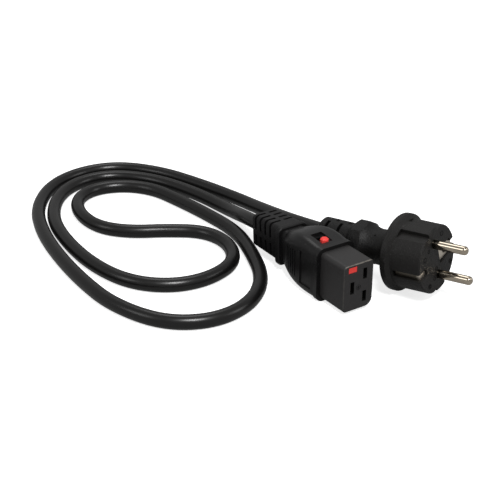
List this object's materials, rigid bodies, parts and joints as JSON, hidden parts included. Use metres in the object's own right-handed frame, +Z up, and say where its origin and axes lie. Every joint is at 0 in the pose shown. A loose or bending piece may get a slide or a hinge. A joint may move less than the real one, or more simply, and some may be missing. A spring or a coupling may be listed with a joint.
{
  "type": "locking c19 power cord set",
  "caption": "Locking C19 mains lead: box-shaped socket connector with a sliding release knob and grooved strain relief, a looped round cord, and a round pin plug with side earth contacts.",
  "frame": {"origin": "centre of the connector's own box (socket, hood and strain relief), on the surface it lies on", "axes": "+Z up from the surface, -Y out of the socket's mating face, +X across the connector"},
  "size_m": [0.1694, 0.2684, 0.0422],
  "materials": {
    "block_plastic": "matte",
    "hood_plastic": "satin",
    "soft_pvc": "satin",
    "cord_pvc": "satin",
    "inner_plastic": "matte",
    "red_plastic": "satin",
    "contact_brass": "satin",
    "strap_nickel": "satin",
    "pin_nickel": "satin",
    "lock_steel": "satin",
    "line_insulation": "satin",
    "neutral_insulation": "satin",
    "earth_insulation": "satin"
  },
  "bodies": {
    "lead": {"socket_block": "block_plastic", "contact_retainer": "inner_plastic", "contact_line": "contact_brass", "contact_neutral": "contact_brass", "contact_earth": "contact_brass", "core_line": "line_insulation", "core_neutral": "neutral_insulation", "core_earth": "earth_insulation", "return_spring": "lock_steel", "hood": "hood_plastic", "strain_relief": "soft_pvc", "cord_sheath": "cord_pvc", "plug_body": "soft_pvc", "pin_bridge": "inner_plastic", "plug_pin_line": "pin_nickel", "plug_pin_neutral": "pin_nickel", "earth_strap": "strap_nickel", "earth_socket": "strap_nickel", "plug_core_line": "line_insulation", "plug_core_neutral": "neutral_insulation", "plug_core_earth": "earth_insulation"},
    "release": {"release_slider": "red_plastic", "lock_plate": "lock_steel"}
  },
  "joints": [
    {"name": "release_slide", "type": "slide", "parent": "lead", "child": "release", "axis": [0, 1, 0], "range_m": [0, 0.004], "stiffness_N_per_m": 300, "deforming": ["return_spring"]}
  ]
}
